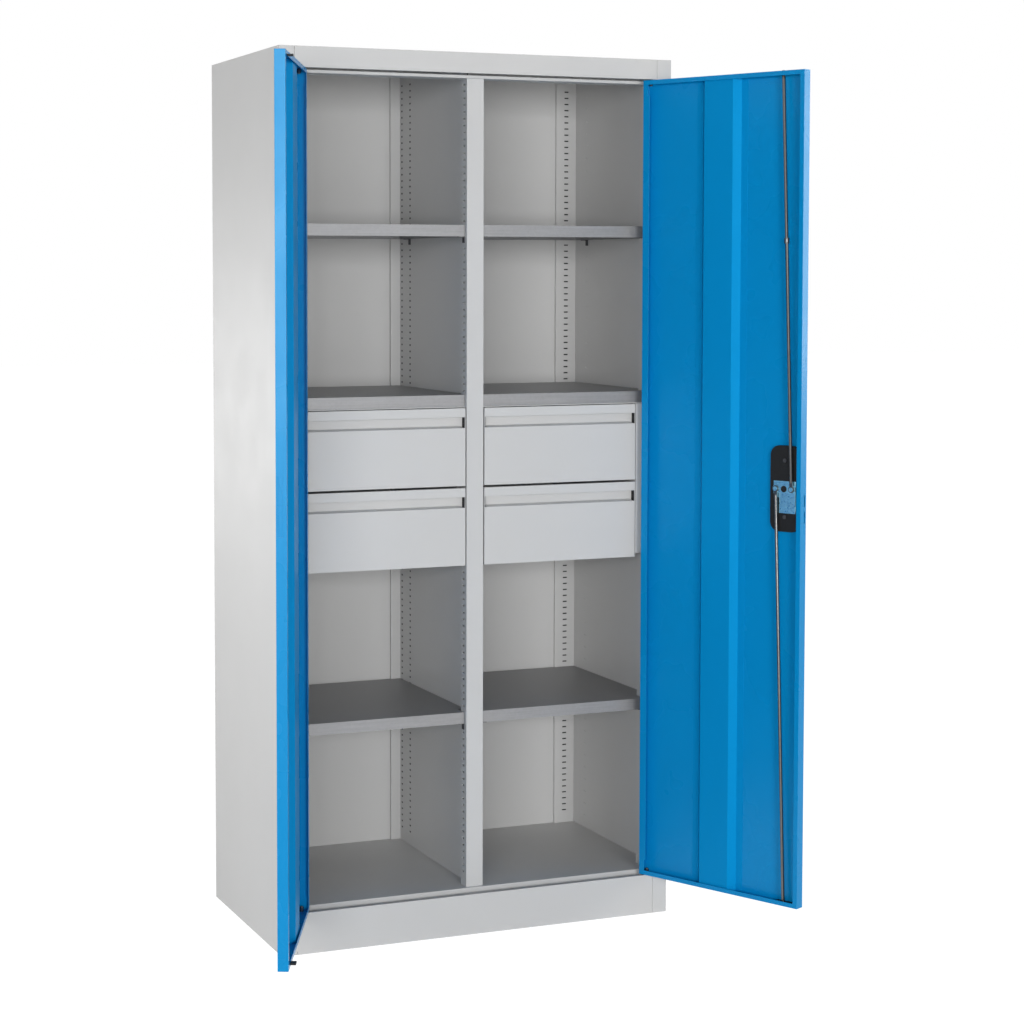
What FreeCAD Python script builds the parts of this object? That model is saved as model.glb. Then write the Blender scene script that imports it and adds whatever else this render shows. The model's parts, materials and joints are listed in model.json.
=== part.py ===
import FreeCAD, Part
import math
import os

# A steel tool cabinet: two doors, a partition, six shelves, four drawers and a rod lock.
# Sizes are in millimetres. X points right, Y points back and Z points up.
# The origin is on the floor, at the middle of the front plane.
# The doors are drawn closed and then swung open to where they rest.

# Cabinet
cabinet_width = 930.0
cabinet_depth = 500.0
cabinet_height = 1950.0
carcass_sheet = 1.2
upright_width = 35.0
upright_depth = 85.0
upright_return = 15.0
rear_flange = 25.0
lintel_height = 44.5
lintel_return = 10.0
plinth_height = 90.0
plinth_return = 10.0
plinth_foot = 20.0
floor_level = 97.5
floor_lip_height = 13.5
floor_lip_return = 10.0
stop_setback = 28.0
stop_drop = 9.0
stop_lip_height = 6.5
stop_leg = 52.0
seam_gap = 0.6
cut_overrun = 5.0

# Partition, posts and liners that carry the shelves
post_width = 40.0
post_setback = 35.0
post_depth = 32.0
post_return = 8.0
partition_thickness = 5.0
partition_skin = 1.0
partition_rear_flange = 24.0
stop_rail_clearance = 1.0
hole_length = 10.0
hole_height = 4.0
hole_pitch = 15.0
hole_end_margin = 30.0
post_hole_margin = 8.0
post_hole_setback = 52.0
rear_holes_from_back = 72.6
last_holes_from_back = 19.6
liner_gauge = 1.2
corner_gauge = 1.2
corner_standoff = 8.0
rear_post_width = 53.0
slot_length = 11.0
slot_height = 3.0
slot_from_wall = 26.0

# Shelves and clips
shelf_gauge = 1.0
shelf_lip = 25.5
shelf_setback = 45.0
shelf_side_clearance = 1.0
shelf_notch_clearance = 3.0
shelf_rear_clearance = 2.0
upper_shelf_top = 1576.5
middle_shelf_top = 1201.0
lower_shelf_top = 491.0
clip_gauge = 1.5
clip_reach = 14.0
clip_height = 14.0
clip_width = 12.0

# Drawers, their frames and rails
drawer_front_height = 172.5
drawer_front_width = 374.4
drawer_front_depth = 20.0
drawer_gap = 5.0
drawer_top_gap = 1.5
drawer_side_gap = 1.7
drawer_sheet = 1.2
grip_lip_height = 20.0
grip_opening = 24.0
grip_depth = 14.0
grip_rise = 4.0
grip_lip_hem = 4.0
grip_end_slot = 5.0
front_bottom_return = 32.0
tray_rear_gap = 19.8
tray_height = 125.0
tray_sheet = 1.0
frame_sheet = 1.2
frame_top_gauge = 2.0
frame_top_setback = 40.0
frame_inner_setback = 86.0
frame_rear_gap = 27.6
frame_foot_rise = 8.0
rail_space = 12.7
rail_gauge = 1.2
rail_height = 36.0
rail_flange = 10.0
rail_play = 0.3
rail_rise = 60.0
rail_front_setback = 92.0
rail_end_gap = 8.0
slide_front_setback = 62.0
slide_end_gap = 8.2
travel_share = 0.81

# Doors
door_sheet = 1.0
door_thickness = 22.0
door_side_gap = 2.0
door_middle_gap = 3.0
door_end_gap = 2.5
hinge_lip = 17.5
free_lip = 11.0
end_lip = 10.0
lip_relief_width = 4.0
lip_relief_height = 24.0
stiffener_flat = 75.0
stiffener_flank = 13.0
stiffener_foot = 17.0
stiffener_depth = 15.0
stiffener_end_gap = 1.5
stiffener_shift = 11.0
stiffener_sheet = 1.0
right_open_angle = 115.7
left_open_angle = 114.3
full_open_angle = 120.0

# Hinges
hinge_inset = 10.0
hinge_depth = 6.0
pin_diameter = 6.0
pin_head_diameter = 9.0
pin_head_height = 2.0
pin_reach = 12.0
bush_diameter = 9.0
bush_flange_diameter = 11.0
bush_length = 10.0
running_clearance = 0.05
sheet_hole_clearance = 0.3
seat_clearance = 0.3
bracket_thickness = 3.0
bracket_width = 24.0
bracket_depth = 24.8

# Keeper and catches on the left door
keeper_height = 120.0
keeper_width = 9.5
keeper_setback = 4.0
keeper_rise = 955.0
keeper_border = 4.0
keeper_gauge = 1.5
catch_length = 16.0
catch_reach = 12.0
catch_height = 4.0
catch_from_edge = 24.0
catch_clearance = 1.0

# Lock dish, plate and knob
lock_backset = 48.5
lock_rise = 1004.0
dish_width = 75.0
dish_height = 187.0
dish_corner = 22.0
dish_depth = 9.0
dish_wall = 2.0
dish_rim = 6.0
dish_rim_gauge = 2.0
dish_fit = 0.2
dish_screw_spread = 61.5
dish_screw_head = 9.0
dish_screw_height = 2.0
lock_plate_width = 56.0
lock_plate_above = 17.0
lock_plate_below = 53.0
lock_plate_gauge = 1.5
lock_plate_step = 14.0
lock_plate_slope = 9.0
lock_plate_tail = 29.0
knob_diameter = 48.0
knob_proud = 6.0
wing_length = 46.0
wing_width = 22.0
wing_corner = 10.5
wing_height = 14.0
neck_diameter = 14.0
neck_proud = 1.0
plate_hole_clearance = 0.3
key_diameter = 16.0
key_bore_depth = 18.0
key_proud = 0.5
key_slot_width = 1.6
key_slot_length = 8.0
key_slot_depth = 5.0

# Cam and rods
cam_radius = 20.0
cam_width = 18.0
cam_corner = 8.9
cam_gauge = 2.5
cam_fit = 0.02
rod_diameter = 7.0
rod_proud = 1.0
rod_end_offset = 9.0
rod_eye_diameter = 14.0
rod_eye_gauge = 2.5
rod_eye_neck = 8.0
rod_eye_reach = 14.0
rod_pin_diameter = 6.0
rod_pin_head = 9.6
rod_pin_head_height = 1.5
rod_collar_diameter = 11.0
rod_collar_length = 12.0
rod_collar_rise = 1540.0
rod_slot_length = 28.0
rod_slot_clearance = 1.0
guide_length = 42.0
guide_height = 6.0
edge_slot_height = 26.0
edge_slot_width = 3.6
edge_slot_setback = 4.2
edge_slot_rises = (932.0, 967.0)

# Places that follow from the sizes above
half_width = cabinet_width / 2
wall_face = half_width - carcass_sheet
liner_face = wall_face - liner_gauge
opening_half = half_width - upright_width
back_outer = cabinet_depth - carcass_sheet
back_face = back_outer - carcass_sheet
ceiling = cabinet_height - carcass_sheet
lintel_bottom = cabinet_height - lintel_height
stop_bottom = lintel_bottom - stop_drop
seam_half = opening_half - seam_gap
post_half = post_width / 2
post_rear = post_setback + post_depth
partition_face = partition_thickness / 2
corner_face = back_face - corner_standoff
rear_hole_setback = back_face - rear_holes_from_back
last_hole_setback = back_face - last_holes_from_back

shelf_inner = partition_face + shelf_side_clearance
shelf_outer = liner_face - shelf_side_clearance
shelf_rear = corner_face - shelf_rear_clearance
shelf_notch = upright_depth + shelf_notch_clearance

frame_top = middle_shelf_top - shelf_lip
frame_under = frame_top - frame_top_gauge
upper_drawer_bottom = frame_under - drawer_top_gap - drawer_front_height
lower_drawer_bottom = upper_drawer_bottom - drawer_gap - drawer_front_height
frame_inner_face = post_half + frame_sheet
front_inner = frame_inner_face + drawer_side_gap
front_outer = front_inner + drawer_front_width
frame_outer_face = front_outer + drawer_side_gap
tray_inner = frame_inner_face + rail_space
tray_outer = frame_outer_face - rail_space
frame_rear = back_face - frame_rear_gap
rail_rear = frame_rear - rail_end_gap
tray_front = post_setback + grip_depth + drawer_sheet
tray_rear = frame_rear - tray_rear_gap
slide_rear = tray_rear - slide_end_gap
drawer_travel = travel_share * (rail_rear - rail_front_setback)

hinge_edge = opening_half - door_side_gap
free_edge = door_middle_gap / 2
door_width = hinge_edge - free_edge
door_bottom = plinth_height + door_end_gap
door_top = lintel_bottom - door_end_gap
hinge_x = hinge_edge - hinge_inset

lock_x = free_edge + lock_backset
dish_back = dish_depth
plate_back = dish_back + lock_plate_gauge
cam_front = plate_back + seat_clearance
cam_back = cam_front + cam_gauge
eye_front = cam_back + seat_clearance
eye_back = eye_front + rod_eye_gauge
rod_depth = (eye_front + eye_back) / 2

x_axis = FreeCAD.Vector(1, 0, 0)
y_axis = FreeCAD.Vector(0, 1, 0)
z_axis = FreeCAD.Vector(0, 0, 1)
origin = FreeCAD.Vector(0, 0, 0)

pieces = {}


# Shape helpers


def block(x0, x1, y0, y1, z0, z1):
    """A box between two corners."""
    return Part.makeBox(x1 - x0, y1 - y0, z1 - z0, FreeCAD.Vector(x0, y0, z0))


def cylinder(radius, start, end):
    """A round bar from one point to another."""
    return Part.makeCylinder(radius, (end - start).Length, start, end - start)


def upright_cylinder(radius, x, y, z0, z1):
    return cylinder(radius, FreeCAD.Vector(x, y, z0), FreeCAD.Vector(x, y, z1))


def level_cylinder(radius, x, z, y0, y1):
    """A round bar along Y, square to a closed door."""
    return cylinder(radius, FreeCAD.Vector(x, y0, z), FreeCAD.Vector(x, y1, z))


def fuse(shapes):
    """One solid from touching or overlapping shapes, without leftover seams."""
    return shapes[0].fuse(shapes[1:]).removeSplitter()


def offset_line(points, distance, closed=False):
    """The corners of a line moved to the left of its walk, with mitred bends."""
    count = len(points)
    moved = []
    for i, here in enumerate(points):
        steps = []
        if closed or i > 0:
            steps.append((points[i - 1], here))
        if closed or i < count - 1:
            steps.append((here, points[(i + 1) % count]))
        normals = []
        for start, end in steps:
            run, rise = end[0] - start[0], end[1] - start[1]
            length = math.hypot(run, rise)
            normals.append((-rise / length, run / length))
        first, last = normals[0], normals[-1]
        mitre = distance / (1 + first[0] * last[0] + first[1] * last[1])
        moved.append((here[0] + mitre * (first[0] + last[0]), here[1] + mitre * (first[1] + last[1])))
    return moved


def folded(path, gauge):
    """The section of a folded sheet whose metal lies to the left of the path."""
    return path + offset_line(path, gauge)[::-1]


def polygon(corners):
    return Part.makePolygon(corners + corners[:1])


def holed_face(wires):
    """A flat face from an outline and the openings inside it."""
    return Part.makeFace(wires, "Part::FaceMakerBullseye")


def plan_prism(points, z0, z1):
    """A solid from an outline seen from above."""
    face = Part.Face(polygon([FreeCAD.Vector(x, y, z0) for x, y in points]))
    return face.extrude(z_axis * (z1 - z0))


def side_prism(points, x0, x1):
    """A solid from an outline of Y and Z, drawn out along X."""
    face = Part.Face(polygon([FreeCAD.Vector(x0, y, z) for y, z in points]))
    return face.extrude(x_axis * (x1 - x0))


def front_prism(points, y0, y1):
    """A solid from an outline of X and Z, drawn out along Y."""
    face = Part.Face(polygon([FreeCAD.Vector(x, y0, z) for x, z in points]))
    return face.extrude(y_axis * (y1 - y0))


def rounded_plate(x0, x1, z0, z1, y0, y1, corner):
    """A plate square to Y with rounded corners."""
    plate = block(x0, x1, y0, y1, z0, z1)
    edges = [e for e in plate.Edges if abs(e.Length - (y1 - y0)) < running_clearance and along_y(e)]
    return plate.makeFillet(corner, edges)


def along_y(edge):
    return edge.tangentAt(edge.FirstParameter).cross(y_axis).Length < edge.Tolerance


def mirrored(shape):
    return shape.mirror(origin, x_axis)


def add(name, *solids):
    pieces[name] = solids[0] if len(solids) == 1 else Part.makeCompound(list(solids))


def add_pair(name, *right_solids):
    """A right-hand piece and its mirror image on the left."""
    add("right_" + name, *right_solids)
    add("left_" + name, *[mirrored(solid) for solid in right_solids])


def heights(start, end, pitch):
    """Evenly spaced heights from the first to the last that fits."""
    count = int((end - start) / pitch) + 1
    return [start + i * pitch for i in range(count)]


# Carcass


def top_sheet():
    return block(-wall_face, wall_face, carcass_sheet, back_outer, ceiling, cabinet_height)


def hinge_pin_bores(clearance, z0, z1):
    """Round bores for the hinge pins of both doors."""
    radius = pin_diameter / 2 + clearance
    return [upright_cylinder(radius, side * hinge_x, hinge_depth, z0, z1) for side in (-1, 1)]


def side_panel():
    path = [
        (opening_half + upright_return, upright_depth),
        (opening_half, upright_depth),
        (opening_half, 0),
        (half_width, 0),
        (half_width, cabinet_depth),
        (half_width - rear_flange, cabinet_depth),
    ]
    return plan_prism(folded(path, carcass_sheet), 0, cabinet_height).cut(top_sheet())


def top_panel():
    lintel = block(-seam_half, seam_half, 0, carcass_sheet, lintel_bottom, cabinet_height)
    fold = block(-seam_half, seam_half, 0, lintel_return, lintel_bottom, lintel_bottom + carcass_sheet)
    panel = fuse([top_sheet(), lintel, fold])
    bores = hinge_pin_bores(sheet_hole_clearance, lintel_bottom - cut_overrun, lintel_bottom + cut_overrun)
    return panel.cut(bores)


def bottom_panel():
    outline = [
        (-opening_half, stop_setback),
        (opening_half, stop_setback),
        (opening_half, upright_depth),
        (wall_face, upright_depth),
        (wall_face, back_face),
        (-wall_face, back_face),
        (-wall_face, upright_depth),
        (-opening_half, upright_depth),
    ]
    lip_section = [
        (stop_setback + floor_lip_return, floor_level - floor_lip_height + carcass_sheet),
        (stop_setback + floor_lip_return, floor_level - floor_lip_height),
        (stop_setback, floor_level - floor_lip_height),
        (stop_setback, floor_level),
        (stop_setback + carcass_sheet, floor_level),
        (stop_setback + carcass_sheet, floor_level - floor_lip_height + carcass_sheet),
    ]
    sheet = plan_prism(outline, floor_level - carcass_sheet, floor_level)
    return fuse([sheet, side_prism(lip_section, -opening_half, opening_half)])


def plinth():
    path = [(plinth_return, plinth_height), (0, plinth_height), (0, 0), (plinth_foot, 0)]
    board = side_prism(folded(path, carcass_sheet), -seam_half, seam_half)
    bores = hinge_pin_bores(sheet_hole_clearance, plinth_height - cut_overrun, plinth_height + cut_overrun)
    return board.cut(bores)


def top_stop_rail():
    path = [
        (stop_setback, stop_bottom + stop_lip_height),
        (stop_setback, stop_bottom),
        (stop_setback + stop_leg, stop_bottom),
    ]
    return side_prism(folded(path, carcass_sheet), -opening_half, opening_half)


def hinge_bracket(low):
    """A flat bracket in the corner behind the lintel or the plinth."""
    plate = block(
        opening_half - bracket_width,
        opening_half,
        carcass_sheet,
        carcass_sheet + bracket_depth,
        low,
        low + bracket_thickness,
    )
    high = low + bracket_thickness
    return plate.cut(hinge_pin_bores(running_clearance, low - cut_overrun, high + cut_overrun))


def hinge_pin(seat, tip):
    """A headed pin: the head lies on its seat, and the tip reaches into the door."""
    up = 1 if tip > seat else -1
    shank = upright_cylinder(pin_diameter / 2, hinge_x, hinge_depth, *sorted((seat, tip)))
    outer = seat - up * pin_head_height
    head = upright_cylinder(pin_head_diameter / 2, hinge_x, hinge_depth, *sorted((seat, outer)))
    return fuse([shank, head])


def build_carcass():
    add_pair("side_panel", side_panel())
    add("back_panel", block(-wall_face, wall_face, back_face, back_outer, 0, ceiling))
    add("top_panel", top_panel())
    add("bottom_panel", bottom_panel())
    add("plinth", plinth())
    add("top_stop_rail", top_stop_rail())
    upper_bracket = lintel_bottom + carcass_sheet
    lower_bracket = plinth_height - carcass_sheet - bracket_thickness
    brackets = [hinge_bracket(upper_bracket), hinge_bracket(lower_bracket)]
    add("hinge_brackets", *brackets, *[mirrored(b) for b in brackets])
    pins = [
        hinge_pin(upper_bracket + bracket_thickness, door_top - pin_reach),
        hinge_pin(lower_bracket, door_bottom + pin_reach),
    ]
    add("hinge_pins", *pins, *[mirrored(p) for p in pins])


# Partition, posts and liners


def hole_heights(pitch, end=ceiling - hole_end_margin):
    return heights(floor_level + hole_end_margin, end, pitch)


def holed_skin(x, outline):
    """A flat skin square to X with two columns of oblong holes for the shelf clips."""
    wires = [polygon([FreeCAD.Vector(x, y, z) for y, z in outline])]
    corner = FreeCAD.Vector(x, 0, 0)
    for middle in (rear_hole_setback, last_hole_setback):
        start, end = middle - hole_length / 2, middle + hole_length / 2
        for z in hole_heights(hole_pitch):
            wires.append(polygon(rectangle(corner, y_axis, start, end, z, z + hole_height)))
    return holed_face(wires).extrude(x_axis * partition_skin)


def partition_sheet():
    """A hollow panel of two holed skins, folded round at its edges, with a flange on the back panel."""
    front = post_setback + carcass_sheet
    stop_rear = stop_setback + stop_leg + stop_rail_clearance
    outline = [
        (front, floor_level),
        (back_face, floor_level),
        (back_face, ceiling),
        (stop_rear, ceiling),
        (stop_rear, stop_bottom),
        (front, stop_bottom),
    ]
    inner_face = partition_face - partition_skin
    inside = offset_line(outline, partition_skin, closed=True)
    rim = side_prism(outline, -inner_face, inner_face)
    rim = rim.cut(side_prism(inside, -partition_face, partition_face))
    skins = [holed_skin(x, outline) for x in (-partition_face, inner_face)]
    flange_edge = -partition_face - partition_rear_flange
    flange_path = [(flange_edge, back_face), (flange_edge, corner_face), (-partition_face, corner_face)]
    flange = plan_prism(folded(flange_path, corner_gauge), floor_level, ceiling)
    return fuse([rim, *skins, flange])


def partition_post():
    """A folded post in front of the partition, with holes in its sides for the shelf clips."""
    path = [
        (post_return - post_half, post_rear),
        (-post_half, post_rear),
        (-post_half, post_setback),
        (post_half, post_setback),
        (post_half, post_rear),
        (post_half - post_return, post_rear),
    ]
    post = plan_prism(folded(path, carcass_sheet), floor_level, stop_bottom)
    start, end = post_hole_setback - hole_length / 2, post_hole_setback + hole_length / 2
    levels = hole_heights(hole_pitch, stop_bottom - post_hole_margin)
    return post.cut([block(-post_width, post_width, start, end, z, z + hole_height) for z in levels])


def slotted_plate(corner, along, width, middle, pitch, thickness):
    """A plate from floor to ceiling with a column of slots across it."""
    wires = [polygon(rectangle(corner, along, 0, width, floor_level, ceiling))]
    for z in hole_heights(pitch):
        start, end = middle - slot_length / 2, middle + slot_length / 2
        wires.append(polygon(rectangle(corner, along, start, end, z, z + slot_height)))
    return holed_face(wires).extrude(thickness)


def rectangle(corner, along, start, end, low, high):
    """Corners of an upright rectangle that starts at a corner and runs along a direction."""
    corners = ((start, low), (end, low), (end, high), (start, high))
    return [corner + along * run + z_axis * z for run, z in corners]


def rear_post():
    """A slotted plate that stands off the back panel on a folded edge."""
    edge = liner_face - rear_post_width
    plate = slotted_plate(
        FreeCAD.Vector(liner_face, corner_face, 0),
        -x_axis,
        rear_post_width,
        slot_from_wall,
        hole_pitch,
        y_axis * corner_gauge,
    )
    fold = block(edge, edge + corner_gauge, corner_face, back_face, floor_level, ceiling)
    return fuse([plate, fold])


def side_liner():
    """A slotted sheet on the inside of the wall."""
    return slotted_plate(
        FreeCAD.Vector(liner_face, upright_depth, 0),
        y_axis,
        back_face - upright_depth,
        rear_hole_setback - upright_depth,
        2 * hole_pitch,
        x_axis * liner_gauge,
    )


def build_partition():
    add("partition_sheet", partition_sheet())
    add("partition_post", partition_post())
    add_pair("rear_post", rear_post())
    add_pair("side_liner", side_liner())


# Shelves


def shelf(top):
    """A folded shelf with notched front corners, for the right-hand column."""
    front_inner_edge = post_half + shelf_side_clearance
    front_outer_edge = opening_half - shelf_side_clearance
    outline = [
        (front_inner_edge, shelf_setback),
        (front_outer_edge, shelf_setback),
        (front_outer_edge, shelf_notch),
        (shelf_outer, shelf_notch),
        (shelf_outer, shelf_rear),
        (shelf_inner, shelf_rear),
        (shelf_inner, shelf_notch),
        (front_inner_edge, shelf_notch),
    ]
    hollow = offset_line(outline, shelf_gauge, closed=True)
    slab = plan_prism(outline, top - shelf_lip, top)
    return slab.cut(plan_prism(hollow, top - shelf_lip - cut_overrun, top - shelf_gauge))


def shelf_clip(seat, y, root, inward):
    """A folded clip under a shelf's edge; root is the face that it stands on."""
    path = [
        (root, seat - clip_height),
        (root, seat),
        (root + inward * clip_reach, seat),
    ]
    section = folded(path, -inward * clip_gauge)
    return front_prism(section, y - clip_width / 2, y + clip_width / 2)


def build_shelves():
    clips = []
    for level, top in (
        ("upper", upper_shelf_top),
        ("middle", middle_shelf_top),
        ("lower", lower_shelf_top),
    ):
        add_pair(level + "_shelf", shelf(top))
        if level == "middle":
            continue
        for y, inner_root, outer_root in (
            (post_hole_setback, post_half, opening_half),
            (rear_hole_setback, partition_face, liner_face),
        ):
            clips.append(shelf_clip(top - shelf_lip, y, inner_root, 1))
            clips.append(shelf_clip(top - shelf_lip, y, outer_root, -1))
    add("shelf_clips", *clips, *[mirrored(clip) for clip in clips])


# Drawers


def drawer_frame():
    """The plates that carry the drawers of the right-hand column: outer, inner and top."""
    low = lower_drawer_bottom + frame_foot_rise
    outer_path = [
        (liner_face, frame_rear),
        (frame_outer_face, frame_rear),
        (frame_outer_face, post_setback),
        (opening_half, post_setback),
    ]
    inner_path = [
        (partition_face, frame_inner_setback),
        (frame_inner_face, frame_inner_setback),
        (frame_inner_face, frame_rear),
        (partition_face, frame_rear),
    ]
    outer = plan_prism(folded(outer_path, frame_sheet), low, frame_under)
    inner = plan_prism(folded(inner_path, frame_sheet), low, frame_under)
    top = block(
        post_half + frame_sheet / 2,
        opening_half,
        frame_top_setback,
        frame_rear,
        frame_under,
        frame_top,
    )
    return outer, inner, top


def channel(root, inward, height, flange, middle, y0, y1):
    """A rail of C section that stands on a face and opens inward."""
    path = [
        (root + inward * flange, middle - height / 2),
        (root, middle - height / 2),
        (root, middle + height / 2),
        (root + inward * flange, middle + height / 2),
    ]
    return front_prism(folded(path, -inward * rail_gauge), y0, y1)


def fixed_rails(bottom):
    middle = bottom + rail_rise
    y0, y1 = rail_front_setback, rail_rear
    return [
        channel(frame_inner_face, 1, rail_height, rail_flange, middle, y0, y1),
        channel(frame_outer_face, -1, rail_height, rail_flange, middle, y0, y1),
    ]


def sliding_rails(bottom):
    """The rails on a drawer's sides, which run inside the fixed ones."""
    middle = bottom + rail_rise
    height = rail_height - 2 * (rail_gauge + rail_play)
    y0, y1 = slide_front_setback, slide_rear
    return [
        channel(tray_inner, -1, height, rail_flange, middle, y0, y1),
        channel(tray_outer, 1, height, rail_flange, middle, y0, y1),
    ]


def drawer_tray(bottom):
    low = bottom + drawer_sheet
    high = low + tray_height
    tray = block(tray_inner, tray_outer, tray_front, tray_rear, low, high)
    hollow = block(
        tray_inner + tray_sheet,
        tray_outer - tray_sheet,
        tray_front + tray_sheet,
        tray_rear - tray_sheet,
        low + tray_sheet,
        high + cut_overrun,
    )
    return tray.cut(hollow)


def drawer_front(bottom):
    """A folded front: the main face, the recess above it and the lip that the fingers hook behind."""
    top = bottom + drawer_front_height
    lip_end = top - grip_lip_height
    face_end = lip_end - grip_opening
    face = post_setback
    recess = post_setback + grip_depth
    path = [
        (face + front_bottom_return, bottom),
        (face, bottom),
        (face, face_end),
        (recess, face_end + grip_rise),
        (recess, top),
        (face, top),
        (face, lip_end),
        (face + grip_lip_hem, lip_end),
    ]
    lower_path = path[:2] + [(face, face_end)]
    upper_path = [(recess, top), (face, top), (face, lip_end)]
    inset = drawer_sheet + grip_end_slot
    section = folded(path[:5], -drawer_sheet)
    lip_section = folded(path[4:], drawer_sheet)
    shapes = [
        side_prism(section, front_inner + inset, front_outer - inset),
        side_prism(lip_section, front_inner + inset, front_outer - inset),
        side_prism(folded(lower_path, -drawer_sheet), front_inner, front_outer),
        side_prism(folded(upper_path, drawer_sheet), front_inner, front_outer),
    ]
    for x in (front_inner, front_outer - drawer_sheet):
        shapes.append(block(x, x + drawer_sheet, face, face + drawer_front_depth, bottom, top))
    return fuse(shapes)


def build_drawers():
    outer, inner, top = drawer_frame()
    add_pair("drawer_frame_outer", outer)
    add_pair("drawer_frame_inner", inner)
    add_pair("drawer_frame_top", top)
    levels = (("upper", upper_drawer_bottom), ("lower", lower_drawer_bottom))
    add_pair("drawer_rails", *[rail for _, bottom in levels for rail in fixed_rails(bottom)])
    for level, bottom in levels:
        add_pair(level + "_drawer_front", drawer_front(bottom))
        add_pair(level + "_drawer_tray", drawer_tray(bottom))
        add_pair(level + "_drawer_slides", *sliding_rails(bottom))


# Doors


def opened_right(shape):
    """A piece of the closed right door, swung to where the door rests."""
    swung = shape.copy()
    swung.rotate(FreeCAD.Vector(hinge_x, hinge_depth, 0), z_axis, right_open_angle)
    return swung


def opened_left(shape):
    """A piece drawn as for the right door, mirrored and swung to where the left door rests."""
    swung = mirrored(shape)
    swung.rotate(FreeCAD.Vector(-hinge_x, hinge_depth, 0), z_axis, -left_open_angle)
    return swung


def door_shell():
    """A sheet tray with returned edges, drawn as the closed right door."""
    inner_plane = door_thickness - door_sheet
    shell = block(free_edge, hinge_edge, 0, door_thickness, door_bottom, door_top)
    hollow = block(
        free_edge + door_sheet,
        hinge_edge - door_sheet,
        door_sheet,
        inner_plane,
        door_bottom + door_sheet,
        door_top - door_sheet,
    )
    low, high = door_bottom + end_lip, door_top - end_lip
    lip = hinge_edge - hinge_lip
    rear = door_thickness + cut_overrun
    mouth = block(free_edge + free_lip, lip, inner_plane - cut_overrun, rear, low, high)
    cuts = [hollow, mouth]
    for z in (low, high - lip_relief_height):
        cuts.append(block(lip, lip + lip_relief_width, inner_plane, rear, z, z + lip_relief_height))
    radius = bush_diameter / 2 + running_clearance
    cuts.append(
        upright_cylinder(radius, hinge_x, hinge_depth, door_bottom - cut_overrun, door_top + cut_overrun)
    )
    return shell.cut(cuts)


def door_stiffener():
    """A hat section up a door, from its lower edge to its upper one."""
    middle = (free_edge + hinge_edge) / 2 + stiffener_shift
    flat = stiffener_flat / 2
    flank = flat + stiffener_flank
    foot = flank + stiffener_foot
    base, crown = door_sheet, door_sheet + stiffener_depth
    path = [
        (middle - foot, base),
        (middle - flank, base),
        (middle - flat, crown),
        (middle + flat, crown),
        (middle + flank, base),
        (middle + foot, base),
    ]
    section = folded(path, stiffener_sheet)
    return plan_prism(section, door_bottom + stiffener_end_gap, door_top - stiffener_end_gap)


def hinge_bush(flange_outer, flange_seat, inner_end):
    """A flanged bush: the flange lies outside the door's edge and the sleeve inside it."""
    flange = upright_cylinder(
        bush_flange_diameter / 2, hinge_x, hinge_depth, *sorted((flange_outer, flange_seat))
    )
    sleeve = upright_cylinder(bush_diameter / 2, hinge_x, hinge_depth, *sorted((flange_seat, inner_end)))
    low, high = sorted((flange_outer, inner_end))
    bore = upright_cylinder(
        pin_diameter / 2 + running_clearance, hinge_x, hinge_depth, low - cut_overrun, high + cut_overrun
    )
    return fuse([flange, sleeve]).cut(bore)


def hinge_bushes():
    return [
        hinge_bush(lintel_bottom - seat_clearance, door_top, door_top - bush_length),
        hinge_bush(plinth_height + seat_clearance, door_bottom, door_bottom + bush_length),
    ]


def build_left_door():
    window = block(
        free_edge - cut_overrun,
        free_edge + cut_overrun,
        keeper_setback,
        keeper_setback + keeper_width,
        keeper_rise,
        keeper_rise + keeper_height,
    )
    keeper = block(
        free_edge + door_sheet,
        free_edge + door_sheet + keeper_gauge,
        keeper_setback - keeper_border / 2,
        keeper_setback + keeper_width + keeper_border,
        keeper_rise - keeper_border,
        keeper_rise + keeper_height + keeper_border,
    )
    add("left_door_panel", opened_left(door_shell().cut(window)))
    add("left_door_stiffener", opened_left(door_stiffener()))
    add("left_door_bushes", *[opened_left(bush) for bush in hinge_bushes()])
    add("left_door_keeper", opened_left(keeper))
    start = free_edge + catch_from_edge
    end = start + catch_length
    reach = door_thickness + catch_reach
    lows = (stop_bottom - catch_clearance - catch_height, floor_level + catch_clearance)
    catches = [block(start, end, door_thickness, reach, low, low + catch_height) for low in lows]
    add("left_door_catches", *[opened_left(catch) for catch in catches])


# Lock


def lock_plan(points):
    """Corners given from the lock's centre, with the first value pointing to the hinge."""
    return [(lock_x + across, lock_rise + up) for across, up in points]


def dish_body(grow, y0, y1, corner):
    """A rounded block of the dish's outline, grown by a border."""
    half_across, half_up = dish_width / 2 + grow, dish_height / 2 + grow
    return rounded_plate(
        lock_x - half_across, lock_x + half_across, lock_rise - half_up, lock_rise + half_up, y0, y1, corner
    )


def lock_bore(radius, y0, y1):
    return level_cylinder(radius, lock_x, lock_rise, y0, y1)


def handle_dish():
    rim = dish_body(dish_rim, -dish_rim_gauge, 0, dish_corner + dish_rim)
    body = dish_body(0, -dish_rim_gauge, dish_depth, dish_corner)
    inner_corner = dish_corner - dish_wall
    hollow = dish_body(-dish_wall, -dish_rim_gauge - cut_overrun, dish_depth - dish_wall, inner_corner)
    bore = lock_bore(neck_diameter / 2 + running_clearance, 0, dish_depth + cut_overrun)
    return fuse([rim, body]).cut([hollow, bore])


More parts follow.
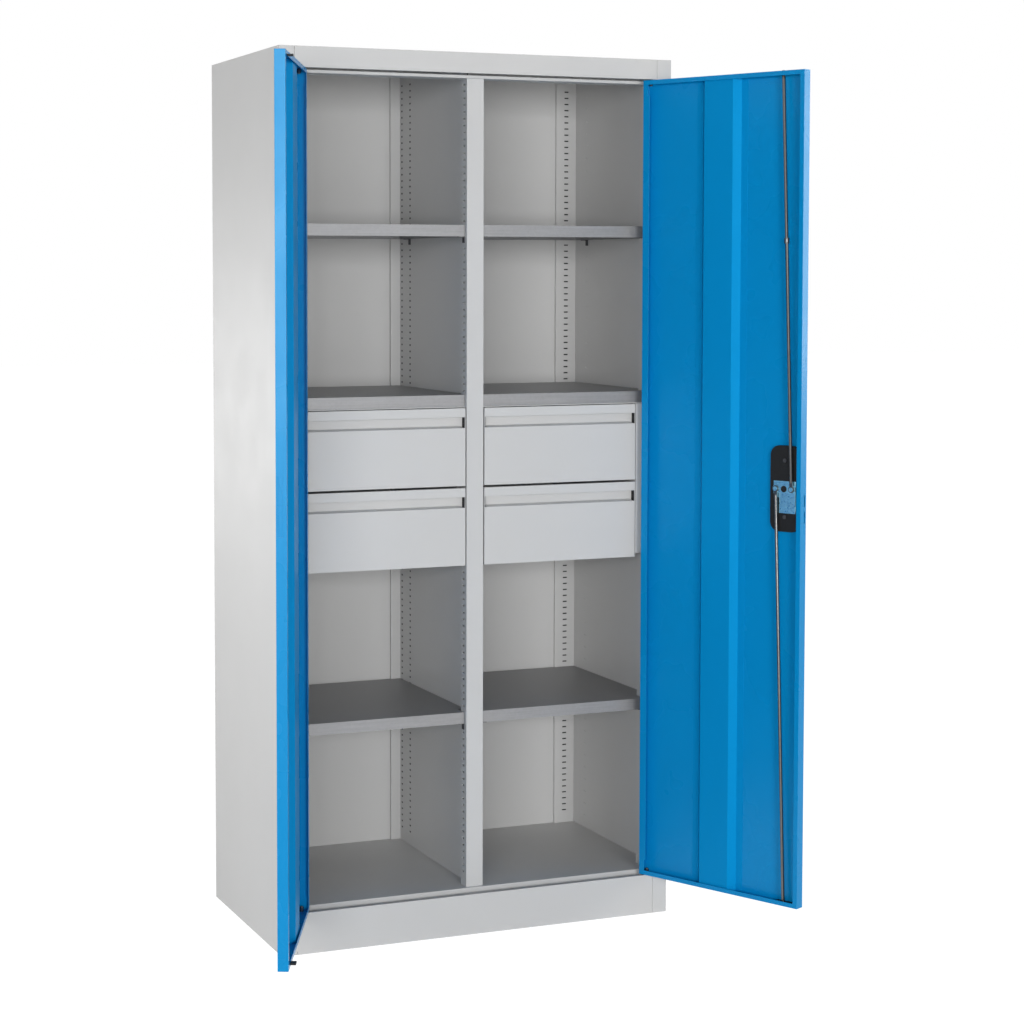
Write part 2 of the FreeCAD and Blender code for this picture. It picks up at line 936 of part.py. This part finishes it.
def lock_plate():
    half = lock_plate_width / 2
    outline = lock_plan(
        [
            (-half, lock_plate_above),
            (-half, -lock_plate_below),
            (half - lock_plate_step, -lock_plate_below),
            (half - lock_plate_step, lock_plate_slope - lock_plate_tail),
            (half, lock_plate_slope - lock_plate_tail + lock_plate_slope),
            (half, lock_plate_above),
        ]
    )
    plate = front_prism(outline, dish_back, plate_back)
    radius = neck_diameter / 2 + plate_hole_clearance
    bore = lock_bore(radius, dish_back - cut_overrun, plate_back + cut_overrun)
    return plate.cut(bore)


def dish_screws():
    heads = []
    for up in (-dish_screw_spread, dish_screw_spread):
        heads.append(
            level_cylinder(
                dish_screw_head / 2, lock_x, lock_rise + up, dish_back, dish_back + dish_screw_height
            )
        )
    return heads


def handle_knob():
    half_length, half_width_of_wing = wing_length / 2, wing_width / 2
    disc_back = dish_depth - dish_wall - seat_clearance
    disc = lock_bore(knob_diameter / 2, -knob_proud, disc_back)
    wing = rounded_plate(
        lock_x - half_length,
        lock_x + half_length,
        lock_rise - half_width_of_wing,
        lock_rise + half_width_of_wing,
        -knob_proud - wing_height,
        -knob_proud,
        wing_corner,
    )
    neck = lock_bore(neck_diameter / 2, disc_back, cam_back + neck_proud)
    mouth = -knob_proud - wing_height
    bore = lock_bore(key_diameter / 2 + running_clearance, mouth - cut_overrun, mouth + key_bore_depth)
    return fuse([disc, wing, neck]).cut(bore)


def lock_cylinder():
    mouth = -knob_proud - wing_height
    plug = lock_bore(key_diameter / 2, mouth - key_proud, mouth + key_bore_depth - seat_clearance)
    slot = block(
        lock_x - key_slot_width / 2,
        lock_x + key_slot_width / 2,
        mouth - cut_overrun,
        mouth - key_proud + key_slot_depth,
        lock_rise - key_slot_length / 2,
        lock_rise + key_slot_length / 2,
    )
    return plug.cut(slot)


def lock_cam():
    reach = cam_radius + cam_width / 2
    half = cam_width / 2
    plate = rounded_plate(
        lock_x - reach, lock_x + reach, lock_rise - half, lock_rise + half, cam_front, cam_back, cam_corner
    )
    return plate.cut(lock_bore(neck_diameter / 2 + cam_fit, cam_front - cut_overrun, cam_back + cut_overrun))


def rod_pin(across):
    x = lock_x + across
    head_seat = eye_back + seat_clearance
    shank = level_cylinder(rod_pin_diameter / 2, x, lock_rise, cam_back, head_seat)
    head = level_cylinder(rod_pin_head / 2, x, lock_rise, head_seat, head_seat + rod_pin_head_height)
    return fuse([shank, head])


def lock_rod(across, end_across, end_z):
    """A rod from its pin on the cam to its guide in the door's edge, across the knob's axis."""
    start = FreeCAD.Vector(lock_x + across, rod_depth, lock_rise)
    end = FreeCAD.Vector(lock_x + end_across, rod_depth, end_z)
    way = (end - start).normalize()
    side = way.cross(y_axis) * (rod_eye_neck / 2)
    bar_start = start + way * rod_eye_reach
    neck_end = bar_start + way * (rod_diameter / 2)
    corners = [start - side, start + side, neck_end + side, neck_end - side]
    neck = front_prism([(c.x, c.z) for c in corners], eye_front, eye_back)
    eye = level_cylinder(rod_eye_diameter / 2, start.x, start.z, eye_front, eye_back)
    bar = cylinder(rod_diameter / 2, bar_start, end)
    bore = level_cylinder(
        rod_pin_diameter / 2 + running_clearance, start.x, start.z, eye_front - cut_overrun, eye_back + cut_overrun
    )
    return fuse([eye, neck, bar]).cut(bore)


def upper_rod():
    rod = lock_rod(-cam_radius, rod_end_offset, door_top + rod_proud)
    rise_share = (rod_collar_rise - lock_rise) / (door_top + rod_proud - lock_rise)
    across = (cam_radius + rod_end_offset) * rise_share - cam_radius
    middle = FreeCAD.Vector(lock_x + across, rod_depth, rod_collar_rise)
    half = z_axis * (rod_collar_length / 2)
    return fuse([rod, cylinder(rod_collar_diameter / 2, middle - half, middle + half)])


def rod_slot(middle, z0, z1):
    """The slot that a rod passes through, with room for its sideways swing."""
    half = rod_slot_length / 2
    reach = rod_diameter / 2 + rod_slot_clearance
    return block(middle - half, middle + half, rod_depth - reach, rod_depth + reach, z0, z1)


def rod_guide(middle, z0, z1):
    half = guide_length / 2
    rear = door_thickness - door_sheet
    guide = block(middle - half, middle + half, door_sheet, rear, z0, z1)
    return guide.cut(rod_slot(middle, z0 - cut_overrun, z1 + cut_overrun))


def build_right_door():
    cuts = [dish_body(dish_fit, -cut_overrun, door_sheet + cut_overrun, dish_corner + dish_fit)]
    lower_end, upper_end = lock_x - rod_end_offset, lock_x + rod_end_offset
    cuts.append(rod_slot(lower_end, door_bottom - cut_overrun, door_bottom + cut_overrun))
    cuts.append(rod_slot(upper_end, door_top - cut_overrun, door_top + cut_overrun))
    for rise in edge_slot_rises:
        cuts.append(
            block(
                free_edge - cut_overrun,
                free_edge + cut_overrun,
                edge_slot_setback,
                edge_slot_setback + edge_slot_width,
                rise,
                rise + edge_slot_height,
            )
        )
    inner_bottom, inner_top = door_bottom + door_sheet, door_top - door_sheet
    guides = [
        rod_guide(lower_end, inner_bottom, inner_bottom + guide_height),
        rod_guide(upper_end, inner_top - guide_height, inner_top),
    ]
    add("right_door_panel", opened_right(door_shell().cut(cuts)))
    add("right_door_stiffener", opened_right(door_stiffener()))
    add("right_door_bushes", *[opened_right(bush) for bush in hinge_bushes()])
    add("handle_dish", opened_right(handle_dish()))
    add("lock_plate", opened_right(lock_plate()))
    add("dish_screws", *[opened_right(head) for head in dish_screws()])
    add("rod_guides", *[opened_right(guide) for guide in guides])


def build_lock():
    add("handle_knob", opened_right(handle_knob()))
    add("lock_cylinder", opened_right(lock_cylinder()))
    add("lock_cam", opened_right(lock_cam()))
    add("rod_pins", *[opened_right(rod_pin(across)) for across in (-cam_radius, cam_radius)])
    add("upper_rod", opened_right(upper_rod()))
    add("lower_rod", opened_right(lock_rod(cam_radius, -rod_end_offset, door_bottom - rod_proud)))


def main():
    build_carcass()
    build_partition()
    build_shelves()
    build_drawers()
    build_left_door()
    build_right_door()
    build_lock()
    os.makedirs("parts", exist_ok=True)
    for name, shape in pieces.items():
        shape.exportStep("parts/" + name + ".step")


main()
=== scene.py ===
import bpy
import bmesh
import json
import math
from mathutils import Matrix, Vector

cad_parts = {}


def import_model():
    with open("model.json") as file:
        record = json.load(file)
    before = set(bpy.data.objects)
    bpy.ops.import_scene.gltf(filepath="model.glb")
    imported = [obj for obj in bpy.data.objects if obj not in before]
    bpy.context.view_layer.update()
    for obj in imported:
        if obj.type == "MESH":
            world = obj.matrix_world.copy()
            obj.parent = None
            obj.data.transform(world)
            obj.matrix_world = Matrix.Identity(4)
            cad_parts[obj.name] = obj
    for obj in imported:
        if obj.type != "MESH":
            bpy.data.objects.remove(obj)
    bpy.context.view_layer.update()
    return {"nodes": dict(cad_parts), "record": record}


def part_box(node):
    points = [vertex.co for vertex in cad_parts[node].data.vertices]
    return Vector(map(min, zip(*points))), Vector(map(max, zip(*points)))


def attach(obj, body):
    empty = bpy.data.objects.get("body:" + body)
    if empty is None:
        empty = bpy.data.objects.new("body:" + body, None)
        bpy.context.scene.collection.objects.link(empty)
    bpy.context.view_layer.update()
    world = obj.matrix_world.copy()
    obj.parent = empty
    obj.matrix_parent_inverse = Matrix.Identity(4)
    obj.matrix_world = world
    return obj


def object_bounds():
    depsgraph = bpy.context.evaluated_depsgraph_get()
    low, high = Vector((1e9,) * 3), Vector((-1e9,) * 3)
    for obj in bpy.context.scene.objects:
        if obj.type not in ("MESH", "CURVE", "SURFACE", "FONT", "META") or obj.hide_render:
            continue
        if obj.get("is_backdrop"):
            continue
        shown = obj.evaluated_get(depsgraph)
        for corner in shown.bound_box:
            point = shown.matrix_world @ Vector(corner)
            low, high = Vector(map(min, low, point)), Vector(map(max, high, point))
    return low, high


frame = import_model()
nodes = frame["nodes"]
slot_of = {s["node"]: s["material_slot"] for s in frame["record"]["subparts"]}

# Camera: pixels for the picture, millimetres for the sensor, metres and radians for the rest
IMAGE_SIDE = 1024
FOCAL_PIXELS = 2226.19
PRINCIPAL = (424.90, 400.0)
SENSOR = 36.0
CAMERA_YAW = 0.37929
CAMERA_PITCH = 0.05719
CAMERA_PLACE = Vector((-1.92589, -4.49664, 1.47151))
CAMERA_REACH = 100.0

# Surroundings: how white the camera sees them, and the level of the light from all round
WHITE = (1.0, 1.0, 1.0, 1.0)
WORLD_WHITE = 1.0
WORLD_LEVEL = 0.23
FLOOR_WHITE = 1.3
FLOOR_SHARE = 0.75
FLOOR_HALF = 30.0
FLOOR_COLOUR = (0.80, 0.80, 0.80)
FLOOR_ROUGHNESS = 0.8

# Softboxes: metres for the place, the point faced and the two sides, watts for the power
SOFTBOXES = {
    "left_softbox": dict(
        place=(-1.9, 0.1, 1.0), target=(-0.46, 0.25, 1.0), width=0.8, height=0.6, power=11.5
    ),
    "rear_softbox": dict(
        place=(-1.9, 3.8, 1.0), target=(-0.46, 0.25, 1.0), width=1.0, height=1.0, power=11.5
    ),
    "right_softbox": dict(
        place=(3.7, -0.95, 1.75), target=(0.6, -0.38, 1.6), width=1.2, height=1.6, power=40.0
    ),
    "camera_softbox": dict(
        place=(-5.0, -8.0, 1.75), target=(0.0, 0.3, 1.0), width=2.8, height=2.2, power=312.0
    ),
    "front_softbox": dict(
        place=(-0.6, -8.9, 1.75), target=(0.0, 0.3, 1.0), width=2.4, height=2.2, power=308.0
    ),
}

# Paints: colour, roughness, how wavy the sheet is, and the tint and level of the gloss
GREY = (0.536, 0.535, 0.530)
BLUE = (0.001, 0.243, 0.562)
NO_TINT = (1.0, 1.0, 1.0)
GREY_COAT = dict(colour=GREY, rough=0.44, waves=0.12, tint=NO_TINT, gloss=0.5)
BLUE_COAT = dict(colour=BLUE, rough=0.28, waves=0.02, tint=(0.6, 0.88, 1.0), gloss=0.27)
MATT_BLUE_COAT = dict(colour=BLUE, rough=0.45, waves=0.05, tint=(0.06, 0.6, 0.9), gloss=0.35)
ROUGH_SPREAD = 0.03
# Painted shade: the near-black colour that stands in for the dark inside the hollows behind the slots
PAINTED_SHADE_COLOUR = (0.010, 0.010, 0.011, 1.0)

# Painted shade seen through the slots, in metres: between the partition's skins, and behind the rear posts
PARTITION_INSIDE = 0.0016
POST_EDGE = 0.4100
BACK_MIDDLE = (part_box("back_panel")[0][1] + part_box("back_panel")[1][1]) / 2

# Galvanised sheet and plastic
GALVANISED = (0.265, 0.265, 0.27)
GALVANISED_METALLIC = 0.55
CRYSTALS_PER_METRE = 160.0
CRYSTAL_SHARE = 0.16
PLASTIC_GLOSS = 0.35

# Small round edges, in metres and radians
FACE_LIMIT = math.radians(35.0)
EDGE_WIDTH = 0.0004
EDGE_SEGMENTS = 2
WELD_DISTANCE = 1e-5


# Materials


class Nodes:
    """A short way to add and join the nodes of one material."""

    def __init__(self, name):
        self.material = bpy.data.materials.new(name)
        self.material.use_nodes = True
        self.tree = self.material.node_tree
        self.shader = self.tree.nodes["Principled BSDF"]
        self.place = self.add("ShaderNodeTexCoord").outputs["Object"]

    def add(self, kind, **inputs):
        node = self.tree.nodes.new(kind)
        for key, value in inputs.items():
            self.set(node, key.replace("_", " "), value)
        return node

    def set(self, node, key, value):
        if isinstance(value, bpy.types.NodeSocket):
            self.tree.links.new(value, node.inputs[key])
        else:
            node.inputs[key].default_value = value

    def shade(self, **inputs):
        for key, value in inputs.items():
            self.set(self.shader, key.replace("_", " "), value)

    def stretched(self, scale):
        """The object's own coordinates, drawn out along its axes."""
        return self.add("ShaderNodeMapping", Vector=self.place, Scale=scale).outputs["Vector"]

    def axes(self):
        """The object's own coordinates one by one, by the names X, Y and Z."""
        return self.add("ShaderNodeSeparateXYZ", Vector=self.place).outputs

    def noise(self, scale, detail, vector=None, roughness=0.5):
        where = self.place if vector is None else vector
        return self.add(
            "ShaderNodeTexNoise", Vector=where, Scale=scale, Detail=detail, Roughness=roughness
        ).outputs["Fac"]

    def tones(self, value, colour, dark, light, start=0.3, end=0.7):
        """A colour that goes from a darker to a lighter share of itself along a value."""
        node = self.add("ShaderNodeValToRGB", Fac=value)
        for element, place, share in zip(node.color_ramp.elements, (start, end), (dark, light)):
            element.position = place
            element.color = (*(c * share for c in colour), 1.0)
        return node.outputs["Color"]

    def spread(self, value, low, high, start=0.3, end=0.7):
        """A value moved to lie between two limits."""
        limits = {"From Min": start, "From Max": end, "To Min": low, "To Max": high}
        node = self.add("ShaderNodeMapRange", Value=value, **limits)
        return node.outputs["Result"]

    def arithmetic(self, operation, *values):
        """One step of arithmetic."""
        node = self.add("ShaderNodeMath")
        node.operation = operation
        for key, value in enumerate(values):
            self.set(node, key, value)
        return node.outputs["Value"]

    def blend(self, share, first, second):
        """One colour going over to another."""
        node = self.add("ShaderNodeMix")
        node.data_type = "RGBA"
        colour_inputs = {0: share, 6: first, 7: second}
        for key, value in colour_inputs.items():
            self.set(node, key, value)
        colour_output = 2
        return node.outputs[colour_output]

    def bump(self, height, distance, strength, under=None):
        """A rough surface, on its own or over another one."""
        node = self.add("ShaderNodeBump", Height=height, Distance=distance, Strength=strength)
        if under is not None:
            self.set(node, "Normal", under)
        return node.outputs["Normal"]


def powder_coat(name, colour, rough, waves, tint, gloss, painted_shade_at=None):
    """Sprayed and baked paint: a faint orange peel over sheet that isn't perfectly flat.
    Where a rule is given, the places it marks get painted shade: the paint goes over to near black there."""
    n = Nodes(name)
    paint = n.tones(n.noise(scale=2.3, detail=3.0), colour, dark=0.985, light=1.015)
    # Painted shade: where the rule holds, the paint colour goes over to near black
    n.shade(Base_Color=n.blend(painted_shade_at(n), paint, PAINTED_SHADE_COLOUR) if painted_shade_at else paint)
    cloud = n.noise(scale=9.0, detail=2.0)
    n.shade(Roughness=n.spread(cloud, low=rough - ROUGH_SPREAD, high=rough + ROUGH_SPREAD))
    n.shade(Specular_Tint=(*tint, 1.0), Specular_IOR_Level=gloss)
    sheet = n.bump(n.noise(scale=3.0, detail=1.0), distance=0.001, strength=waves)
    peel = n.noise(scale=420.0, detail=1.0)
    n.shade(Normal=n.bump(peel, distance=0.00005, strength=0.04, under=sheet))
    return n.material


def hollow_shade_mask(n):
    """The space between the two skins of the partition, darkened there as painted shade."""
    return n.arithmetic("LESS_THAN", n.arithmetic("ABSOLUTE", n.axes()["X"]), PARTITION_INSIDE)


def post_shade_mask(n):
    """The strips of the back panel's front that the rear posts cover, darkened there as painted shade."""
    axes = n.axes()
    outer = n.arithmetic("GREATER_THAN", n.arithmetic("ABSOLUTE", axes["X"]), POST_EDGE)
    front = n.arithmetic("LESS_THAN", axes["Y"], BACK_MIDDLE)
    return n.arithmetic("MULTIPLY", outer, front)


def galvanised_sheet(name, colour):
    """Zinc dipped sheet: faint small crystals, and long fine streaks from rolling."""
    n = Nodes(name)
    crystals = n.add("ShaderNodeTexVoronoi", Vector=n.place, Scale=CRYSTALS_PER_METRE, Randomness=1.0)
    cell = n.add("ShaderNodeSeparateColor", Color=crystals.outputs["Color"]).outputs["Red"]
    rolled = n.stretched((0.12, 1.0, 4.0))
    streaks = n.noise(scale=70.0, detail=4.0, vector=rolled, roughness=0.65)
    tone = n.arithmetic("MULTIPLY_ADD", cell, CRYSTAL_SHARE, streaks)
    n.shade(Base_Color=n.tones(tone, colour, dark=0.90, light=1.08, start=0.35, end=0.8))
    n.shade(Metallic=GALVANISED_METALLIC)
    n.shade(Roughness=n.spread(tone, low=0.40, high=0.50, start=0.35, end=0.8))
    n.shade(Normal=n.bump(streaks, distance=0.00005, strength=0.3))
    return n.material


def plated_steel(name, colour, smooth, rough):
    """Zinc plated or bright drawn steel with a clouded film and fine scratches."""
    n = Nodes(name)
    film = n.noise(scale=120.0, detail=4.0, roughness=0.6)
    n.shade(Base_Color=n.tones(film, colour, dark=0.86, light=1.08), Metallic=1.0)
    n.shade(Roughness=n.spread(n.noise(scale=300.0, detail=3.0), low=smooth, high=rough))
    scratches = n.noise(scale=400.0, detail=2.0, vector=n.stretched((1.0, 1.0, 0.06)))
    n.shade(Normal=n.bump(scratches, distance=0.00005, strength=0.35))
    return n.material


def moulded_plastic(name, colour, smooth, rough):
    """Moulded plastic with a fine spark-eroded grain."""
    n = Nodes(name)
    n.shade(Base_Color=n.tones(n.noise(scale=40.0, detail=3.0), colour, dark=0.9, light=1.12))
    n.shade(Roughness=n.spread(n.noise(scale=160.0, detail=3.0), low=smooth, high=rough))
    n.shade(Specular_IOR_Level=PLASTIC_GLOSS)
    grain = n.noise(scale=1500.0, detail=2.0)
    n.shade(Normal=n.bump(grain, distance=0.00006, strength=0.5))
    return n.material


materials = {
    "grey_paint": powder_coat("light_grey_powder_coat", **GREY_COAT),
    "blue_paint": powder_coat("light_blue_powder_coat", **BLUE_COAT),
    "galvanised": galvanised_sheet("galvanised_sheet", GALVANISED),
    "zinc": plated_steel("zinc_plate", (0.55, 0.62, 0.68), smooth=0.25, rough=0.42),
    "rod_steel": plated_steel("drawn_steel", (0.15, 0.148, 0.148), smooth=0.28, rough=0.45),
    "black_plastic": moulded_plastic("black_plastic", (0.0035, 0.004, 0.005), smooth=0.5, rough=0.65),
    "bush_plastic": moulded_plastic("dark_bush_plastic", (0.004, 0.02, 0.045), smooth=0.5, rough=0.65),
    "key_chrome": plated_steel("satin_chrome", (0.62, 0.62, 0.63), smooth=0.15, rough=0.25),
}
matt_blue = powder_coat("matt_blue_powder_coat", **MATT_BLUE_COAT)
# Zinc parts coloured light blue
blue_zinc = plated_steel("light_blue_zinc", (0.36, 0.74, 0.93), smooth=0.25, rough=0.42)
# Painted shade: zinc given a near-black colour so the shelf clips, dish screws and hinge pins read as dark
# as the shade they sit in
dark_zinc_painted_shade = plated_steel("dark_zinc_painted_shade", (0.10, 0.10, 0.105), smooth=0.45, rough=0.6)
own_finish = {
    # Painted shade inside the partition's hollow, seen through its slots
    "partition_sheet": powder_coat("grey_hollow_panel_painted_shade", **GREY_COAT, painted_shade_at=hollow_shade_mask),
    # Painted shade on the back panel behind the rear posts, seen through their slots
    "back_panel": powder_coat("grey_back_panel_painted_shade", **GREY_COAT, painted_shade_at=post_shade_mask),
    "left_door_stiffener": matt_blue,
    "right_door_stiffener": matt_blue,
    "lock_plate": blue_zinc,
    "lock_cam": blue_zinc,
    "rod_pins": blue_zinc,
    "dish_screws": dark_zinc_painted_shade,
    "shelf_clips": dark_zinc_painted_shade,
    "hinge_pins": dark_zinc_painted_shade,
}


def soften_edges(piece, width):
    """Small round edges, as folded, stamped and painted sheet has."""
    weld = piece.modifiers.new("weld", "WELD")
    weld.merge_threshold = WELD_DISTANCE
    bevel = piece.modifiers.new("edges", "BEVEL")
    bevel.limit_method = "ANGLE"
    bevel.angle_limit = FACE_LIMIT
    bevel.width = width
    bevel.segments = EDGE_SEGMENTS
    bevel.harden_normals = True


for name, node in nodes.items():
    node.data.materials.clear()
    node.data.materials.append(own_finish.get(name, materials[slot_of[name]]))
    if slot_of[name] != "galvanised" and name != "shelf_clips":
        soften_edges(node, EDGE_WIDTH)


# Ends of the drawer grips, in metres: inward from the end, back from the cabinet's front, down from the top

DRAWERS = ("left_upper_drawer", "left_lower_drawer", "right_upper_drawer", "right_lower_drawer")
END_PLATE = 0.00125
GRIP_TOP = 0.0203
GRIP_BOTTOM = 0.0437
GRIP_EDGE_WIDTH = EDGE_WIDTH / 4

# The sheet that closes the recess, folded forward along the end plate
FILLER_WIDTH = 0.0048
FILLER_GAUGE = 0.0004
FILLER_FRONT = 0.0450
RECESS_FRONT = 0.0489
RECESS_REAR = 0.0501
FILLER_PLAN = (
    (0.0, FILLER_FRONT),
    (FILLER_GAUGE, FILLER_FRONT),
    (FILLER_GAUGE, RECESS_FRONT),
    (FILLER_WIDTH, RECESS_FRONT),
    (FILLER_WIDTH, RECESS_REAR),
    (0.0, RECESS_REAR),
)

# Painted shade: a thin black plastic sheet along the end plate, as dark as the shade deep in the narrow
# slot at the grip's end
LINING_GAP = 0.00045
LINING_GAUGE = 0.0008
LINING_INSIDE = LINING_GAP + LINING_GAUGE
LINING_FRONT = 0.0364
LINING_REAR = 0.0488
SLOT_SHADE_PLAN = (
    (LINING_GAP, LINING_FRONT),
    (LINING_INSIDE, LINING_FRONT),
    (LINING_INSIDE, LINING_REAR),
    (LINING_GAP, LINING_REAR),
)
GRIP_PIECES = (
    ("filler", "grey_paint", FILLER_PLAN),
    ("slot_shade", "black_plastic", SLOT_SHADE_PLAN),
)


def grip_end(name, body, slot, plan, low, high):
    """An upright piece of the given plan between two heights, with round edges."""
    shape = bmesh.new()
    face = shape.faces.new([shape.verts.new((x, y, low)) for x, y in plan])
    raised = bmesh.ops.extrude_face_region(shape, geom=[face])["geom"]
    upper = [v for v in raised if isinstance(v, bmesh.types.BMVert)]
    bmesh.ops.translate(shape, verts=upper, vec=(0.0, 0.0, high - low))
    bmesh.ops.recalc_face_normals(shape, faces=shape.faces)
    mesh = bpy.data.meshes.new(name)
    shape.to_mesh(mesh)
    shape.free()
    mesh.materials.append(materials[slot])
    piece = bpy.data.objects.new(name, mesh)
    bpy.context.collection.objects.link(piece)
    soften_edges(piece, GRIP_EDGE_WIDTH)
    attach(piece, body)


for body in DRAWERS:
    front_low, front_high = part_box(body + "_front")
    low, high = front_high[2] - GRIP_BOTTOM, front_high[2] - GRIP_TOP
    left_end, right_end = front_low[0] + END_PLATE, front_high[0] - END_PLATE
    for end, start, way in (("left", left_end, 1.0), ("right", right_end, -1.0)):
        for kind, slot, plan in GRIP_PIECES:
            placed = [(start + way * x, y) for x, y in plan]
            grip_end(f"{body}_{end}_grip_{kind}", body, slot, placed, low, high)


# Stage


def seen_white(tree):
    """1 for what the camera sees itself or in gloss or glass, and 0 for the light that falls on things."""
    path = tree.nodes.new("ShaderNodeLightPath")
    total = path.outputs["Is Camera Ray"]
    for ray in ("Is Glossy Ray", "Is Transmission Ray"):
        either = tree.nodes.new("ShaderNodeMath")
        either.operation = "MAXIMUM"
        tree.links.new(total, either.inputs[0])
        tree.links.new(path.outputs[ray], either.inputs[1])
        total = either.outputs["Value"]
    return total


def floor():
    """A wide pale floor that keeps the object's shadow."""
    near, far = -FLOOR_HALF, FLOOR_HALF
    corners = [(near, near, 0), (far, near, 0), (far, far, 0), (near, far, 0)]
    mesh = bpy.data.meshes.new("floor")
    mesh.from_pydata(corners, [], [(0, 1, 2, 3)])
    plane = bpy.data.objects.new("floor", mesh)
    bpy.context.collection.objects.link(plane)
    n = Nodes("pale_floor")
    grain = n.noise(scale=6.0, detail=3.0)
    n.shade(Base_Color=n.tones(grain, FLOOR_COLOUR, dark=0.975, light=1.025), Roughness=FLOOR_ROUGHNESS)
    white = n.add("ShaderNodeEmission", Color=WHITE, Strength=FLOOR_WHITE)
    share = n.arithmetic("MULTIPLY", seen_white(n.tree), FLOOR_SHARE)
    mix = n.add("ShaderNodeMixShader", Fac=share)
    n.set(mix, 1, n.shader.outputs["BSDF"])
    n.set(mix, 2, white.outputs["Emission"])
    n.set(n.tree.nodes["Material Output"], "Surface", mix.outputs["Shader"])
    mesh.materials.append(n.material)
    plane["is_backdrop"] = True


def world():
    """Soft light from all round, and a white background."""
    scene_world = bpy.data.worlds.new("studio")
    bpy.context.scene.world = scene_world
    scene_world.use_nodes = True
    tree = scene_world.node_tree
    background = tree.nodes["Background"]
    background.inputs["Color"].default_value = WHITE
    level = tree.nodes.new("ShaderNodeMapRange")
    level.inputs["To Min"].default_value = WORLD_LEVEL
    level.inputs["To Max"].default_value = WORLD_WHITE
    tree.links.new(seen_white(tree), level.inputs["Value"])
    tree.links.new(level.outputs["Result"], background.inputs["Strength"])


def softbox(name, place, target, width, height, power):
    """A lamp with a flat rectangular face, turned to its target."""
    data = bpy.data.lights.new(name, "AREA")
    data.shape = "RECTANGLE"
    data.size, data.size_y = width, height
    data.energy = power
    lamp = bpy.data.objects.new(name, data)
    bpy.context.collection.objects.link(lamp)
    lamp.location = place
    lamp.rotation_euler = (Vector(target) - Vector(place)).to_track_quat("-Z", "Y").to_euler()


def camera():
    """The photograph's view, with its principal point away from the picture's middle."""
    data = bpy.data.cameras.new("camera")
    data.sensor_width = SENSOR
    data.lens = FOCAL_PIXELS * SENSOR / IMAGE_SIDE
    data.shift_x = (IMAGE_SIDE / 2 - PRINCIPAL[0]) / IMAGE_SIDE
    data.shift_y = (PRINCIPAL[1] - IMAGE_SIDE / 2) / IMAGE_SIDE
    data.clip_end = CAMERA_REACH
    eye = bpy.data.objects.new("camera", data)
    bpy.context.collection.objects.link(eye)
    right = Vector((math.cos(CAMERA_YAW), -math.sin(CAMERA_YAW), 0.0))
    ahead = Vector((
        math.sin(CAMERA_YAW) * math.cos(CAMERA_PITCH),
        math.cos(CAMERA_YAW) * math.cos(CAMERA_PITCH),
        -math.sin(CAMERA_PITCH),
    ))
    up = right.cross(ahead)
    turn = Matrix((right, up, -ahead)).transposed().to_4x4()
    eye.matrix_world = Matrix.Translation(CAMERA_PLACE) @ turn
    bpy.context.scene.camera = eye


floor()
world()
for name, box in SOFTBOXES.items():
    softbox(name, **box)
camera()
bpy.context.scene.view_settings.view_transform = "Standard"

low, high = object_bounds()
